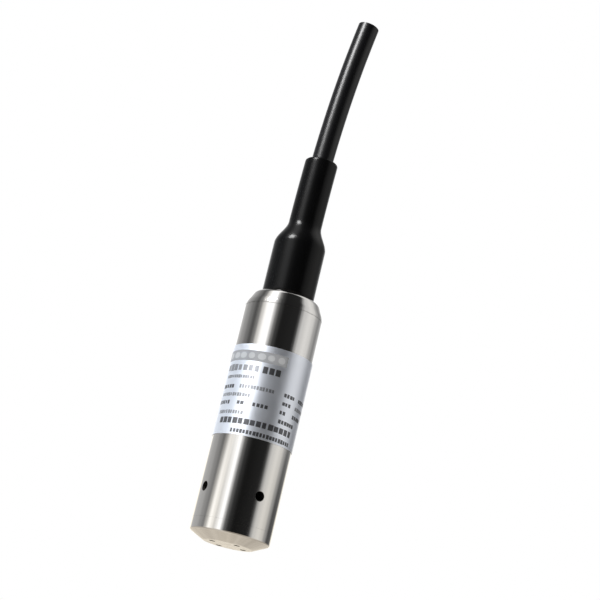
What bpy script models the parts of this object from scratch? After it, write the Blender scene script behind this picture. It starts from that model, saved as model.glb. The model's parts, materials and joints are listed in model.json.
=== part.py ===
"""Submersible level transmitter: a stainless probe that hangs in a tank on its vented cable.

Metres, +Z up along the probe, origin at the centre of the flat nose.
The cable leaves upwards, and leans a little towards +X, as the stub in the photograph does.
"""

import math

import bmesh
import bpy

OBJECT_NAME = "submersible_level_transmitter"

# Clearances
SEAT_GAP = 0.0002
BORE_GAP = 0.0002
CUT_OVERRUN = 0.0010
MERGE_DISTANCE = 0.00001

# Facets round a turned piece
BODY_STEPS = 48
BOOT_STEPS = 36
INNER_STEPS = 24
SMALL_STEPS = 12
SEAL_SIDES = 8
ROUND_POINTS = 4

# Steel body
BODY_RADIUS = 0.0130
TUBE_WALL = 0.0020
TUBE_LENGTH = 0.0714
TUBE_EDGE = 0.0002

# Nose cap, screwed into the lower end of the tube
NOSE_FLAT_RADIUS = 0.0080
NOSE_CONE_HEIGHT = 0.0025
NOSE_RIM_HEIGHT = 0.0035
NOSE_FLOOR = 0.0030
NOSE_SPIGOT_LENGTH = 0.0045
NOSE_SPIGOT_WALL = 0.0024
FACE_HOLE_COUNT = 4
FACE_HOLE_RADIUS = 0.0010
FACE_HOLE_CIRCLE = 0.0058
PORT_COUNT = 4
PORT_RADIUS = 0.0016
PORT_RISE = 0.0098
HOLE_TURN = math.radians(29)

# Seat of the pressure cell inside the tube
CHAMBER_LENGTH = 0.0135
LEDGE_THICKNESS = 0.0020
LEDGE_WIDTH = 0.00165

# Pressure cell
CELL_RADIUS = 0.0095
CELL_HEIGHT = 0.0110
CELL_FACE_RECESS = 0.0006
CELL_RIM = 0.0016
CELL_GROOVE_RISE = 0.0023
BACKUP_RING_HEIGHT = 0.0013
CELL_GROOVE_DEPTH = 0.0015
DIAPHRAGM_THICKNESS = 0.00015
DIAPHRAGM_RIPPLE = 0.00010
DIAPHRAGM_RIPPLES = 3
DIAPHRAGM_POINTS = 12
WELD_RING_WIDTH = 0.0008
WELD_RING_THICKNESS = 0.0003
LOCK_RING_HEIGHT = 0.0030
LOCK_RING_WIDTH = 0.0034
LOCK_THREAD_DEPTH = 0.00075
LOCK_SLOT_WIDTH = 0.0020
LOCK_SLOT_DEPTH = 0.0012
LOCK_THREAD_SPARE = 0.0010

# Glass header, its pins and its vent
HEADER_THICKNESS = 0.0012
HEADER_PIN_COUNT = 5
HEADER_PIN_RADIUS = 0.00025
HEADER_PIN_HOLE_GAP = 0.0002
HEADER_PIN_LENGTH = 0.0055
HEADER_PIN_CIRCLE = 0.0040
VENT_STUB_RADIUS = 0.0009
VENT_STUB_BORE = 0.0005
VENT_STUB_LENGTH = 0.0070

# Electronics bay
SLEEVE_WALL = 0.0005
SLEEVE_TOP_DROP = 0.0011
BOARD_THICKNESS = 0.0016
BOARD_FOOT_RISE = 0.0027
BOARD_TOP_DROP = 0.0021
LEAD_RADIUS = 0.00035
LEAD_BOW = 0.0006
LEAD_SPREAD = 1.4

# End cap, screwed into the upper end of the tube
CAP_STEP = 0.0003
CAP_TAPER = 0.0014
CAP_TAPER_HEIGHT = 0.0034
CAP_ROUND = 0.0017
CAP_SPIGOT_LENGTH = 0.0076
CAP_POCKET_WALL = 0.0010
CAP_POCKET_DEPTH = 0.0050
CAP_GROOVE_COUNT = 2
CAP_GROOVE_PITCH = 0.0033
CAP_GROOVE_DEPTH = 0.0015
CAP_GROOVE_RISE = 0.0010
NECK_RADIUS = 0.0072
NECK_WALL = 0.0012
NECK_HEIGHT = 0.0090
GLAND_FLOOR_RISE = 0.0010

# Cable gland inside the neck
WASHER_THICKNESS = 0.0006
BUSH_HEIGHT = 0.0034
NUT_TOP_DROP = 0.0012
NUT_SIDES = 6

# Vented cable
CABLE_RADIUS = 0.00365
CABLE_GAP = 0.0003
SHIELD_WALL = 0.0002
SHIELD_GAP = 0.0002
SHIELD_TAIL = 0.0008
CONDUCTOR_COUNT = 4
CONDUCTOR_RADIUS = 0.00055
CONDUCTOR_GAP = 0.00015
VENT_TUBE_RADIUS = 0.00085
VENT_TUBE_BORE = 0.0005
VENT_TUBE_TAIL = 0.0025
JACKET_TAIL = 0.0030
CABLE_SIDES_RESOLUTION = 4
CORE_SIDES_RESOLUTION = 2
CABLE_POINT_COUNT = 13

# Centreline of the cable, chosen by eye from the photograph: sideways (X), and up from the gland nut's top
CABLE_ROUTE = [
    (0.00000, -0.0285),
    (0.00000, -0.0145),
    (0.00000, 0.0000),
    (0.00012, 0.0150),
    (0.00050, 0.0304),
    (0.00092, 0.0400),
    (0.00156, 0.0500),
    (0.00239, 0.0600),
    (0.00342, 0.0700),
    (0.00460, 0.0795),
    (0.00535, 0.0850),
]

# Heat-shrink boot over the gland and the first stretch of cable
BOOT_WALL = 0.0011
BOOT_GAP = 0.0004
BOOT_BULB_LENGTH = 0.0182
BOOT_NECK_LENGTH = 0.0086
BOOT_TUBE_LENGTH = 0.0226
BOOT_TUBE_WALL = 0.00165
BOOT_NECK_POINTS = 6
BOOT_LIP_POINTS = 3

# Foil label round the tube
LABEL_LOW = 0.0330
LABEL_HEIGHT = 0.0300
LABEL_STEPS = 44
LABEL_THICKNESS = 0.00012
LABEL_GAP = 0.00005
LABEL_START = math.radians(75)

# Heights worked out from the sizes above
SEAM_Z = NOSE_CONE_HEIGHT + NOSE_RIM_HEIGHT
TUBE_LOW_Z = SEAM_Z + SEAT_GAP
TUBE_TOP_Z = TUBE_LOW_Z + TUBE_LENGTH
PORT_Z = SEAM_Z + PORT_RISE
LEDGE_LOW_Z = SEAM_Z + CHAMBER_LENGTH
LEDGE_TOP_Z = LEDGE_LOW_Z + LEDGE_THICKNESS
CELL_LOW_Z = LEDGE_TOP_Z + SEAT_GAP
CELL_TOP_Z = CELL_LOW_Z + CELL_HEIGHT
LOCK_LOW_Z = CELL_TOP_Z + SEAT_GAP
LOCK_TOP_Z = LOCK_LOW_Z + LOCK_RING_HEIGHT
BAY_LOW_Z = LOCK_TOP_Z + LOCK_THREAD_SPARE
HEADER_TOP_Z = LOCK_LOW_Z + HEADER_THICKNESS
PIN_TOP_Z = LOCK_LOW_Z + HEADER_PIN_LENGTH
VENT_STUB_TOP_Z = LOCK_LOW_Z + VENT_STUB_LENGTH
CAP_FLANGE_Z = TUBE_TOP_Z + SEAT_GAP
CAP_SPIGOT_LOW_Z = CAP_FLANGE_Z - CAP_SPIGOT_LENGTH
SLEEVE_LOW_Z = BAY_LOW_Z + SEAT_GAP
SLEEVE_TOP_Z = CAP_SPIGOT_LOW_Z - SLEEVE_TOP_DROP
BOARD_LOW_Z = VENT_STUB_TOP_Z + BOARD_FOOT_RISE
BOARD_TOP_Z = CAP_SPIGOT_LOW_Z - BOARD_TOP_DROP
CAP_POCKET_TOP_Z = CAP_SPIGOT_LOW_Z + CAP_POCKET_DEPTH
CAP_TAPER_TOP_Z = CAP_FLANGE_Z + CAP_TAPER_HEIGHT
CAP_TOP_Z = CAP_TAPER_TOP_Z + CAP_ROUND
NECK_TOP_Z = CAP_TOP_Z + NECK_HEIGHT
BOOT_LOW_Z = CAP_TOP_Z + SEAT_GAP
BOOT_BULB_TOP_Z = BOOT_LOW_Z + BOOT_BULB_LENGTH
BOOT_NECK_TOP_Z = BOOT_BULB_TOP_Z + BOOT_NECK_LENGTH
BOOT_TOP_Z = BOOT_NECK_TOP_Z + BOOT_TUBE_LENGTH
GLAND_FLOOR_Z = CAP_TOP_Z + GLAND_FLOOR_RISE
LOWER_WASHER_Z = GLAND_FLOOR_Z + SEAT_GAP
BUSH_LOW_Z = LOWER_WASHER_Z + WASHER_THICKNESS + SEAT_GAP
BUSH_TOP_Z = BUSH_LOW_Z + BUSH_HEIGHT
UPPER_WASHER_Z = BUSH_TOP_Z + SEAT_GAP
NUT_LOW_Z = UPPER_WASHER_Z + WASHER_THICKNESS + SEAT_GAP
NUT_HEAD_Z = NECK_TOP_Z + SEAT_GAP
NUT_TOP_Z = BOOT_BULB_TOP_Z - NUT_TOP_DROP
JACKET_LOW_Z = CAP_POCKET_TOP_Z - JACKET_TAIL

# Radii worked out from the sizes above
TUBE_BORE = BODY_RADIUS - TUBE_WALL
CELL_BORE = CELL_RADIUS + BORE_GAP
LEDGE_BORE = CELL_BORE - LEDGE_WIDTH
LOCK_BORE = CELL_BORE + LOCK_THREAD_DEPTH
LOCK_RADIUS = LOCK_BORE - BORE_GAP
LOCK_OPENING = LOCK_RADIUS - LOCK_RING_WIDTH
HEADER_RADIUS = LOCK_OPENING - BORE_GAP
NOSE_SPIGOT_RADIUS = TUBE_BORE - BORE_GAP
NOSE_POCKET_RADIUS = NOSE_SPIGOT_RADIUS - NOSE_SPIGOT_WALL
CELL_GROOVE_RADIUS = CELL_RADIUS - CELL_GROOVE_DEPTH
CELL_FACE_RADIUS = CELL_RADIUS - CELL_RIM
DIAPHRAGM_RADIUS = CELL_FACE_RADIUS - BORE_GAP
SLEEVE_RADIUS = TUBE_BORE - BORE_GAP
SLEEVE_BORE = SLEEVE_RADIUS - SLEEVE_WALL
CAP_RADIUS = BODY_RADIUS - CAP_STEP
CAP_SPIGOT_RADIUS = TUBE_BORE - BORE_GAP
CAP_GROOVE_RADIUS = CAP_SPIGOT_RADIUS - CAP_GROOVE_DEPTH
CAP_POCKET_RADIUS = CAP_GROOVE_RADIUS - CAP_POCKET_WALL
CABLE_BORE = CABLE_RADIUS + CABLE_GAP
GLAND_BORE = NECK_RADIUS - NECK_WALL
GLAND_RADIUS = GLAND_BORE - BORE_GAP
BOOT_BORE = NECK_RADIUS + BOOT_GAP
BOOT_RADIUS = BOOT_BORE + BOOT_WALL
BOOT_TUBE_RADIUS = CABLE_BORE + BOOT_TUBE_WALL
CONDUCTOR_CIRCLE = VENT_TUBE_RADIUS + CONDUCTOR_GAP + CONDUCTOR_RADIUS
SHIELD_BORE = CONDUCTOR_CIRCLE + CONDUCTOR_RADIUS + SHIELD_GAP
SHIELD_RADIUS = SHIELD_BORE + SHIELD_WALL
JACKET_BORE = SHIELD_RADIUS + SHIELD_GAP
CAP_GROOVE_WIDTH = TUBE_BORE - CAP_GROOVE_RADIUS - 2 * BORE_GAP + 2 * SEAT_GAP
BOARD_HALF_WIDTH = math.sqrt((SLEEVE_BORE - BORE_GAP) ** 2 - (BOARD_THICKNESS / 2) ** 2)
CONDUCTOR_LOW_Z = BOARD_TOP_Z + CABLE_GAP

# Parts on the board: name, face (+1 front towards -Y), place as a share of the board's half width
# and of its length, size
BOARD_CHIPS = [
    ("converter_chip", 1, 0.00, 0.61, (0.0070, 0.0012, 0.0070)),
    ("amplifier_chip", 1, -0.35, 0.27, (0.0050, 0.0015, 0.0040)),
    ("voltage_regulator", -1, 0.30, 0.24, (0.0065, 0.0016, 0.0035)),
    ("surge_diode", -1, -0.45, 0.25, (0.0045, 0.0020, 0.0026)),
    ("zero_trimmer", 1, 0.55, 0.25, (0.0035, 0.0018, 0.0035)),
    ("span_trimmer", 1, 0.55, 0.88, (0.0035, 0.0018, 0.0035)),
]
CAPACITOR_RADIUS = 0.0021
CAPACITOR_HEIGHT = 0.0040
CAPACITOR_PLACE = 0.67

# Colour, roughness and metallic share of each material
FINISHES = {
    "polished_steel": ((0.62, 0.61, 0.59), 0.16, 1.0),
    "cell_steel": ((0.56, 0.56, 0.55), 0.30, 1.0),
    "thin_steel_foil": ((0.66, 0.66, 0.66), 0.22, 1.0),
    "gold_plate": ((0.83, 0.62, 0.26), 0.25, 1.0),
    "seal_rubber": ((0.02, 0.02, 0.02), 0.60, 0.0),
    "backup_plastic": ((0.85, 0.84, 0.80), 0.45, 0.0),
    "sealing_glass": ((0.10, 0.22, 0.20), 0.15, 0.0),
    "sleeve_film": ((0.80, 0.66, 0.32), 0.40, 0.0),
    "green_board": ((0.03, 0.22, 0.09), 0.45, 0.0),
    "chip_plastic": ((0.03, 0.03, 0.035), 0.50, 0.0),
    "trimmer_plastic": ((0.05, 0.16, 0.45), 0.40, 0.0),
    "lead_wire": ((0.55, 0.06, 0.05), 0.45, 0.0),
    "potting_resin": ((0.05, 0.05, 0.05), 0.35, 0.0),
    "shrink_sleeve": ((0.018, 0.018, 0.018), 0.22, 0.0),
    "cable_jacket": ((0.022, 0.022, 0.024), 0.38, 0.0),
    "braid": ((0.60, 0.60, 0.60), 0.35, 1.0),
    "vent_tube": ((0.88, 0.88, 0.86), 0.35, 0.0),
    "foil_label": ((0.74, 0.75, 0.78), 0.30, 0.9),
}


def clear_scene():
    for obj in list(bpy.data.objects):
        bpy.data.objects.remove(obj, do_unlink=True)


def new_collection(name):
    collection = bpy.data.collections.new(name)
    bpy.context.scene.collection.children.link(collection)
    return collection


def material(name):
    """The named finish, made once."""
    found = bpy.data.materials.get(name)
    if found:
        return found
    colour, roughness, metallic = FINISHES[name]
    made = bpy.data.materials.new(name)
    made.use_nodes = True
    shader = made.node_tree.nodes["Principled BSDF"]
    shader.inputs["Base Color"].default_value = (*colour, 1.0)
    shader.inputs["Roughness"].default_value = roughness
    shader.inputs["Metallic"].default_value = metallic
    return made


def adopt(obj, name, finish):
    """Names an object, gives it its material and puts it with the parts."""
    obj.name = name
    obj.data.name = name
    obj.data.materials.clear()
    obj.data.materials.append(material(finish))
    move_to(obj, PARTS)
    return obj


def move_to(obj, collection):
    for holder in list(obj.users_collection):
        holder.objects.unlink(obj)
    collection.objects.link(obj)


def turned(name, profile, finish, steps=BODY_STEPS):
    """A body of revolution. The profile holds (radius, height) points and runs down its outer side."""
    ring = profile[0][0] > 0
    count = len(profile)
    edges = [(i, (i + 1) % count) for i in range(count if ring else count - 1)]
    mesh = bpy.data.meshes.new(name)
    mesh.from_pydata([(radius, 0.0, height) for radius, height in profile], edges, [])
    obj = bpy.data.objects.new(name, mesh)
    adopt(obj, name, finish)
    screw = obj.modifiers.new("turn", "SCREW")
    screw.axis = "Z"
    screw.angle = 2 * math.pi
    screw.steps = steps
    screw.render_steps = steps
    screw.use_merge_vertices = True
    screw.merge_threshold = MERGE_DISTANCE
    screw.use_smooth_shade = True
    return obj


def ring(name, outer, inner, low, high, finish, steps=INNER_STEPS):
    """A plain turned ring with a rectangular section."""
    return turned(name, [(outer, high), (outer, low), (inner, low), (inner, high)], finish, steps)


def seal_section(bore, groove):
    """The thickness of the round seal that fits between a groove's floor and the bore."""
    return bore - groove - 2 * BORE_GAP


def o_ring(name, bore, groove, height, finish):
    """A round-section seal that fills a groove, clear of its floor and of the bore."""
    bpy.ops.mesh.primitive_torus_add(
        major_radius=(bore + groove) / 2,
        minor_radius=seal_section(bore, groove) / 2,
        major_segments=INNER_STEPS,
        minor_segments=SEAL_SIDES,
        location=(0, 0, height),
    )
    return adopt(bpy.context.object, name, finish)


def rod(name, radius, low, high, place, finish, sides=SMALL_STEPS):
    bpy.ops.mesh.primitive_cylinder_add(
        vertices=sides, radius=radius, depth=high - low, location=(*place, (low + high) / 2)
    )
    return adopt(bpy.context.object, name, finish)


def block(name, size, centre, finish):
    bpy.ops.mesh.primitive_cube_add(size=1, location=centre)
    obj = bpy.context.object
    obj.scale = size
    bpy.ops.object.transform_apply(location=False, rotation=False, scale=True)
    return adopt(obj, name, finish)


def as_cutter(obj, name):
    obj.name = name
    obj.hide_render = True
    obj.display_type = "WIRE"
    move_to(obj, CUTTERS)
    return obj


def cylinder_cutter(name, radius, length, centre, turn=(0, 0, 0), sides=24):
    bpy.ops.mesh.primitive_cylinder_add(
        vertices=sides, radius=radius, depth=length, location=centre, rotation=turn
    )
    return as_cutter(bpy.context.object, name)


def join_with(obj, other, operation):
    boolean = obj.modifiers.new(operation.lower(), "BOOLEAN")
    boolean.operation = operation
    boolean.object = other
    boolean.solver = "EXACT"


def settle(obj):
    """Turns a curve or a mesh with modifiers into a plain mesh with its loose caps welded on."""
    bpy.context.view_layer.update()
    graph = bpy.context.evaluated_depsgraph_get()
    mesh = bpy.data.meshes.new_from_object(obj.evaluated_get(graph))
    work = bmesh.new()
    work.from_mesh(mesh)
    bmesh.ops.remove_doubles(work, verts=work.verts, dist=MERGE_DISTANCE)
    work.to_mesh(mesh)
    work.free()
    made = bpy.data.objects.new(obj.name, mesh)
    made.matrix_world = obj.matrix_world
    bpy.context.scene.collection.objects.link(made)
    bpy.data.objects.remove(obj, do_unlink=True)
    return made


def tube_along(name, points, radius, resolution):
    """A round bar along a line of points, as one welded mesh."""
    curve = bpy.data.curves.new(name, "CURVE")
    curve.dimensions = "3D"
    curve.bevel_depth = radius
    curve.bevel_resolution = resolution
    curve.use_fill_caps = True
    spline = curve.splines.new("POLY")
    spline.points.add(len(points) - 1)
    for place, point in zip(spline.points, points):
        place.co = (*point, 1.0)
    obj = bpy.data.objects.new(name, curve)
    bpy.context.scene.collection.objects.link(obj)
    return settle(obj)


def arc(centre, radius, start, end, points):
    """Points on an arc in the (radius, height) plane, both ends among them."""
    made = []
    for i in range(points + 1):
        angle = start + (end - start) * i / points
        made.append((centre[0] + radius * math.cos(angle), centre[1] + radius * math.sin(angle)))
    return made


def around(count, circle, turn):
    """Places spread evenly on a circle, each with its angle."""
    places = []
    for i in range(count):
        angle = turn + 2 * math.pi * i / count
        places.append((circle * math.cos(angle), circle * math.sin(angle), angle))
    return places


def route_point(share):
    """A point of the smooth curve through the cable's route, from 0 at its foot to 1 at its cut end."""
    spans = len(CABLE_ROUTE) - 1
    index = min(int(share * spans), spans - 1)
    part = share * spans - index
    near = [CABLE_ROUTE[max(0, min(spans, index + i))] for i in (-1, 0, 1, 2)]
    point = []
    for axis in (0, 1):
        a, b, c, d = (p[axis] for p in near)
        bend = 2 * a - 5 * b + 4 * c - d
        twist = 3 * b - 3 * c + d - a
        point.append(b + 0.5 * part * (c - a + part * (bend + part * twist)))
    return point[0], NUT_TOP_Z + point[1]


def cable_line(low, side=0.0, depth=0.0):
    """The cable's centreline from a height upwards, or a line that runs beside it inside the cable."""
    shares = [i / (CABLE_POINT_COUNT - 1) for i in range(CABLE_POINT_COUNT)]
    flat = [route_point(share) for share in shares]
    flat = [(0.0, low)] + [p for p in flat if p[1] > low + CABLE_RADIUS]
    made = []
    for i, (x, z) in enumerate(flat):
        before = flat[max(i - 1, 0)]
        after = flat[min(i + 1, len(flat) - 1)]
        run = math.hypot(after[0] - before[0], after[1] - before[1])
        across = ((after[1] - before[1]) / run, -(after[0] - before[0]) / run)
        made.append((x + side * across[0], depth, z + side * across[1]))
    return made


def lean_at(height):
    """How far the cable's centreline lies towards +X at a height."""
    rise = height - NUT_TOP_Z
    below = CABLE_ROUTE[0]
    for above in CABLE_ROUTE[1:]:
        if rise <= above[1]:
            share = max(0.0, (rise - below[1]) / (above[1] - below[1]))
            return below[0] + (above[0] - below[0]) * share
        below = above
    return below[0]


def make_nose_cap():
    profile = [
        (0.0, NOSE_FLOOR),
        (NOSE_POCKET_RADIUS, NOSE_FLOOR),
        (NOSE_POCKET_RADIUS, SEAM_Z + NOSE_SPIGOT_LENGTH),
        (NOSE_SPIGOT_RADIUS, SEAM_Z + NOSE_SPIGOT_LENGTH),
        (NOSE_SPIGOT_RADIUS, SEAM_Z),
        (BODY_RADIUS, SEAM_Z),
        (BODY_RADIUS, NOSE_CONE_HEIGHT),
        (NOSE_FLAT_RADIUS, 0.0),
        (0.0, 0.0),
    ]
    cap = turned("nose_cap", profile, "polished_steel")
    for i, (x, y, _) in enumerate(around(FACE_HOLE_COUNT, FACE_HOLE_CIRCLE, HOLE_TURN)):
        length = NOSE_FLOOR + 2 * CUT_OVERRUN
        hole = cylinder_cutter(f"face_hole_{i + 1}", FACE_HOLE_RADIUS, length, (x, y, NOSE_FLOOR / 2))
        join_with(cap, hole, "DIFFERENCE")


def make_housing_tube():
    profile = [
        (BODY_RADIUS - TUBE_EDGE, TUBE_TOP_Z),
        (BODY_RADIUS, TUBE_TOP_Z - TUBE_EDGE),
        (BODY_RADIUS, TUBE_LOW_Z),
        (TUBE_BORE, TUBE_LOW_Z),
        (TUBE_BORE, LEDGE_LOW_Z),
        (LEDGE_BORE, LEDGE_LOW_Z),
        (LEDGE_BORE, LEDGE_TOP_Z),
        (CELL_BORE, LEDGE_TOP_Z),
        (CELL_BORE, CELL_TOP_Z),
        (LOCK_BORE, CELL_TOP_Z),
        (LOCK_BORE, BAY_LOW_Z),
        (TUBE_BORE, BAY_LOW_Z),
        (TUBE_BORE, TUBE_TOP_Z),
    ]
    tube = turned("housing_tube", profile, "polished_steel")
    middle = BODY_RADIUS - TUBE_WALL / 2
    for i, (x, y, angle) in enumerate(around(PORT_COUNT, middle, HOLE_TURN)):
        port = cylinder_cutter(
            f"port_{i + 1}",
            PORT_RADIUS,
            TUBE_WALL + 2 * CUT_OVERRUN,
            (x, y, PORT_Z),
            (0, math.pi / 2, angle),
        )
        join_with(tube, port, "DIFFERENCE")


def make_pressure_cell():
    """The steel cell with its groove for the seal and a shallow recess for the diaphragm."""
    section = seal_section(CELL_BORE, CELL_GROOVE_RADIUS)
    groove_low = CELL_LOW_Z + CELL_GROOVE_RISE
    seal_z = groove_low + SEAT_GAP + section / 2
    backup_low = seal_z + section / 2 + SEAT_GAP
    groove_top = backup_low + BACKUP_RING_HEIGHT + SEAT_GAP
    profile = [
        (0.0, CELL_TOP_Z),
        (CELL_RADIUS, CELL_TOP_Z),
        (CELL_RADIUS, groove_top),
        (CELL_GROOVE_RADIUS, groove_top),
        (CELL_GROOVE_RADIUS, groove_low),
        (CELL_RADIUS, groove_low),
        (CELL_RADIUS, CELL_LOW_Z),
        (CELL_FACE_RADIUS, CELL_LOW_Z),
        (CELL_FACE_RADIUS, CELL_LOW_Z + CELL_FACE_RECESS),
        (0.0, CELL_LOW_Z + CELL_FACE_RECESS),
    ]
    turned("pressure_cell_body", profile, "cell_steel", INNER_STEPS)
    o_ring("cell_oring", CELL_BORE, CELL_GROOVE_RADIUS, seal_z, "seal_rubber")
    ring(
        "cell_backup_ring",
        CELL_BORE - BORE_GAP,
        CELL_GROOVE_RADIUS + BORE_GAP,
        backup_low,
        backup_low + BACKUP_RING_HEIGHT,
        "backup_plastic",
    )


def make_diaphragm():
    """A thin disc with round corrugations, and the ring that is welded over its edge."""
    top = CELL_LOW_Z + CELL_FACE_RECESS - SEAT_GAP - DIAPHRAGM_RIPPLE
    clamped = DIAPHRAGM_RADIUS - WELD_RING_WIDTH
    heights = []
    for i in range(DIAPHRAGM_POINTS + 1):
        radius = clamped * i / DIAPHRAGM_POINTS
        wave = 2 * math.pi * DIAPHRAGM_RIPPLES * i / DIAPHRAGM_POINTS
        heights.append((radius, top + DIAPHRAGM_RIPPLE * math.cos(wave)))
    flat_top = heights[-1][1]
    upper = heights + [(DIAPHRAGM_RADIUS, flat_top)]
    lower = [(radius, height - DIAPHRAGM_THICKNESS) for radius, height in reversed(upper)]
    turned("cell_diaphragm", upper + lower, "thin_steel_foil", INNER_STEPS)
    weld_top = flat_top - DIAPHRAGM_THICKNESS - SEAT_GAP / 2
    ring(
        "diaphragm_weld_ring",
        DIAPHRAGM_RADIUS,
        clamped,
        weld_top - WELD_RING_THICKNESS,
        weld_top,
        "cell_steel",
    )


def make_lock_ring():
    """A threaded ring that holds the cell down, with two slots for a key."""
    lock = ring("cell_lock_ring", LOCK_RADIUS, LOCK_OPENING, LOCK_LOW_Z, LOCK_TOP_Z, "cell_steel")
    height = LOCK_SLOT_DEPTH + CUT_OVERRUN
    centre = (0, 0, LOCK_TOP_Z - LOCK_SLOT_DEPTH + height / 2)
    width = 2 * (LOCK_RADIUS + CUT_OVERRUN)
    bpy.ops.mesh.primitive_cube_add(size=1, location=centre)
    slot = bpy.context.object
    slot.scale = (LOCK_SLOT_WIDTH, width, height)
    bpy.ops.object.transform_apply(location=False, rotation=False, scale=True)
    join_with(lock, as_cutter(slot, "key_slot"), "DIFFERENCE")


def make_header():
    """The glass plate on the cell's back, with its pins and a short vent pipe."""
    hole = VENT_STUB_RADIUS + BORE_GAP
    header = ring("cell_header", HEADER_RADIUS, hole, LOCK_LOW_Z, HEADER_TOP_Z, "sealing_glass")
    middle = (LOCK_LOW_Z + HEADER_TOP_Z) / 2
    pins = around(HEADER_PIN_COUNT, HEADER_PIN_CIRCLE, math.pi / 2)
    for i, (x, y, _) in enumerate(pins):
        cutter = cylinder_cutter(
            f"pin_hole_{i + 1}",
            HEADER_PIN_RADIUS + HEADER_PIN_HOLE_GAP,
            HEADER_THICKNESS + 2 * CUT_OVERRUN,
            (x, y, middle),
            sides=SMALL_STEPS,
        )
        join_with(header, cutter, "DIFFERENCE")
        rod(f"header_pin_{i + 1}", HEADER_PIN_RADIUS, LOCK_LOW_Z, PIN_TOP_Z, (x, y), "gold_plate", 8)
    ring(
        "cell_vent_stub",
        VENT_STUB_RADIUS,
        VENT_STUB_BORE,
        LOCK_LOW_Z,
        VENT_STUB_TOP_Z,
        "cell_steel",
        SMALL_STEPS,
    )


def make_cell_leads():
    """Thin wires from the header's pins up to the foot of the board."""
    foot = BOARD_LOW_Z - SEAT_GAP - LEAD_RADIUS
    start = PIN_TOP_Z + SEAT_GAP
    places = around(HEADER_PIN_COUNT, HEADER_PIN_CIRCLE, math.pi / 2)
    for i, (x, y, _) in enumerate(places):
        landing = x * LEAD_SPREAD
        points = []
        for share in (0.0, 0.2, 0.45, 0.7, 0.88, 1.0):
            ease = share * share * (3 - 2 * share)
            bow = LEAD_BOW * math.sin(math.pi * share) * (1 if x >= 0 else -1)
            points.append(
                (
                    x + (landing - x) * ease + bow,
                    y * (1 - ease),
                    start + (foot - start) * share,
                )
            )
        lead = tube_along(f"cell_lead_{i + 1}", points, LEAD_RADIUS, 1)
        adopt(lead, f"cell_lead_{i + 1}", "lead_wire")


def make_board():
    """The amplifier board, held by its long edges in an insulating sleeve."""
    ring("board_sleeve", SLEEVE_RADIUS, SLEEVE_BORE, SLEEVE_LOW_Z, SLEEVE_TOP_Z, "sleeve_film")
    length = BOARD_TOP_Z - BOARD_LOW_Z
    size = (2 * BOARD_HALF_WIDTH, BOARD_THICKNESS, length)
    block("amplifier_board", size, (0, 0, BOARD_LOW_Z + length / 2), "green_board")
    for name, face, side, rise, chip in BOARD_CHIPS:
        stand = BOARD_THICKNESS / 2 + SEAT_GAP + chip[1] / 2
        finish = "trimmer_plastic" if "trimmer" in name else "chip_plastic"
        block(name, chip, (side * BOARD_HALF_WIDTH, -face * stand, BOARD_LOW_Z + rise * length), finish)
    bpy.ops.mesh.primitive_cylinder_add(
        vertices=20,
        radius=CAPACITOR_RADIUS,
        depth=CAPACITOR_HEIGHT,
        location=(
            0,
            BOARD_THICKNESS / 2 + SEAT_GAP + CAPACITOR_HEIGHT / 2,
            BOARD_LOW_Z + CAPACITOR_PLACE * length,
        ),
        rotation=(math.pi / 2, 0, 0),
    )
    adopt(bpy.context.object, "storage_capacitor", "cell_steel")


def make_end_cap():
    """The upper plug: sloped shoulder, grooved spigot in the tube, and a hollow neck for the gland."""
    top_radius = CAP_RADIUS - CAP_TAPER
    round_centre = (top_radius - CAP_ROUND, CAP_TAPER_TOP_Z)
    profile = [(GLAND_BORE, NECK_TOP_Z), (NECK_RADIUS, NECK_TOP_Z), (NECK_RADIUS, CAP_TOP_Z)]
    profile += arc(round_centre, CAP_ROUND, math.pi / 2, 0, ROUND_POINTS)
    profile += [(CAP_RADIUS, CAP_FLANGE_Z), (CAP_SPIGOT_RADIUS, CAP_FLANGE_Z)]
    for low in reversed(groove_heights()):
        profile += [
            (CAP_SPIGOT_RADIUS, low + CAP_GROOVE_WIDTH),
            (CAP_GROOVE_RADIUS, low + CAP_GROOVE_WIDTH),
            (CAP_GROOVE_RADIUS, low),
            (CAP_SPIGOT_RADIUS, low),
        ]
    profile += [
        (CAP_SPIGOT_RADIUS, CAP_SPIGOT_LOW_Z),
        (CAP_POCKET_RADIUS, CAP_SPIGOT_LOW_Z),
        (CAP_POCKET_RADIUS, CAP_POCKET_TOP_Z),
        (CABLE_BORE, CAP_POCKET_TOP_Z),
        (CABLE_BORE, GLAND_FLOOR_Z),
        (GLAND_BORE, GLAND_FLOOR_Z),
    ]
    turned("end_cap", profile, "polished_steel")


def groove_heights():
    """The lower edge of each seal groove in the end cap's spigot."""
    first = CAP_SPIGOT_LOW_Z + CAP_GROOVE_RISE
    return [first + CAP_GROOVE_PITCH * i for i in range(CAP_GROOVE_COUNT)]


def make_cap_seals():
    for i, low in enumerate(groove_heights()):
        height = low + CAP_GROOVE_WIDTH / 2
        o_ring(f"cap_oring_{i + 1}", TUBE_BORE, CAP_GROOVE_RADIUS, height, "seal_rubber")


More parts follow.
